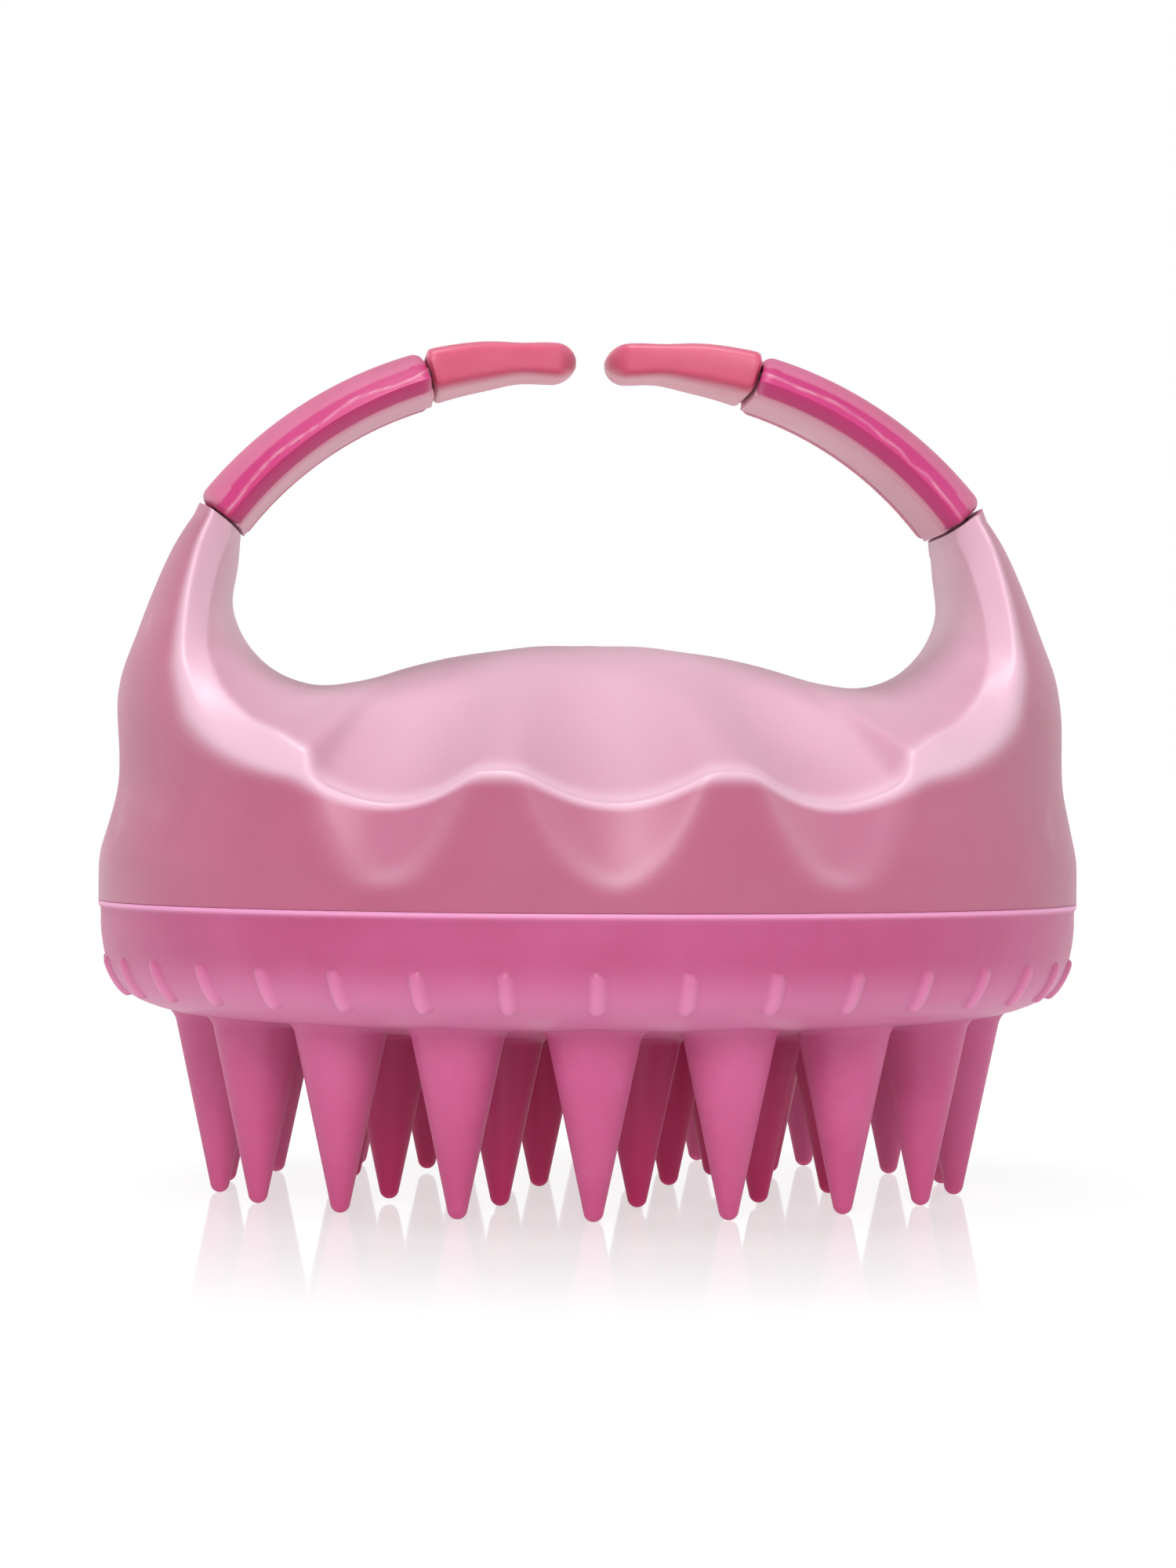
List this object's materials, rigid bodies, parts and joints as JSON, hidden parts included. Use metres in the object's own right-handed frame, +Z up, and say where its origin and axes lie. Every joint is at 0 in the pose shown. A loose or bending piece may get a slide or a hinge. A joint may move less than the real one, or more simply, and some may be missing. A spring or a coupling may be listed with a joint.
{
  "type": "scalp massager brush",
  "caption": "Palm-held scalp massager: round shell with a split finger ring above a soft silicone pad of cone-shaped bristles.",
  "frame": {"origin": "centre of the plane that the outer bristle tips stand on", "axes": "+Z up through the shell, X along the finger ring from its left arm to its right arm, Y from front to back"},
  "size_m": [0.085, 0.085, 0.0736],
  "materials": {
    "shell_plastic": "fine matte moulded texture",
    "core_plastic": "matte moulded, paler than the grip",
    "grip_rubber": "satin soft-touch rubber",
    "tip_rubber": "glossy soft rubber, slightly translucent",
    "pad_silicone": "satin silicone, slightly translucent",
    "tray_plastic": "plain moulded",
    "screw_steel": "zinc-plated"
  },
  "bodies": {
    "handle": {"handle_shell": "shell_plastic", "carrier_tray": "tray_plastic", "bristle_pad": "pad_silicone", "tray_screw_1": "screw_steel", "tray_screw_2": "screw_steel", "tray_screw_3": "screw_steel", "tray_screw_4": "screw_steel"},
    "left_arm": {"arm_core_left": "core_plastic", "grip_sleeve_left": "grip_rubber"},
    "left_tip": {"arm_tip_left": "tip_rubber"},
    "right_arm": {"arm_core_right": "core_plastic", "grip_sleeve_right": "grip_rubber"},
    "right_tip": {"arm_tip_right": "tip_rubber"}
  },
  "joints": [
    {"name": "left_arm_flex", "type": "hinge", "parent": "handle", "child": "left_arm", "pos_m": [-0.03313, 0, 0.05643], "axis": [0, -1, 0], "range_deg": [-3, 8], "stiffness_Nm_per_rad": 0.08},
    {"name": "left_tip_flex", "type": "hinge", "parent": "left_arm", "child": "left_tip", "pos_m": [-0.01233, 0, 0.07105], "axis": [0, -1, 0], "range_deg": [-8, 8], "stiffness_Nm_per_rad": 0.04},
    {"name": "right_arm_flex", "type": "hinge", "parent": "handle", "child": "right_arm", "pos_m": [0.03313, 0, 0.05643], "axis": [0, 1, 0], "range_deg": [-3, 8], "stiffness_Nm_per_rad": 0.08},
    {"name": "right_tip_flex", "type": "hinge", "parent": "right_arm", "child": "right_tip", "pos_m": [0.01233, 0, 0.07105], "axis": [0, 1, 0], "range_deg": [-8, 8], "stiffness_Nm_per_rad": 0.04}
  ]
}
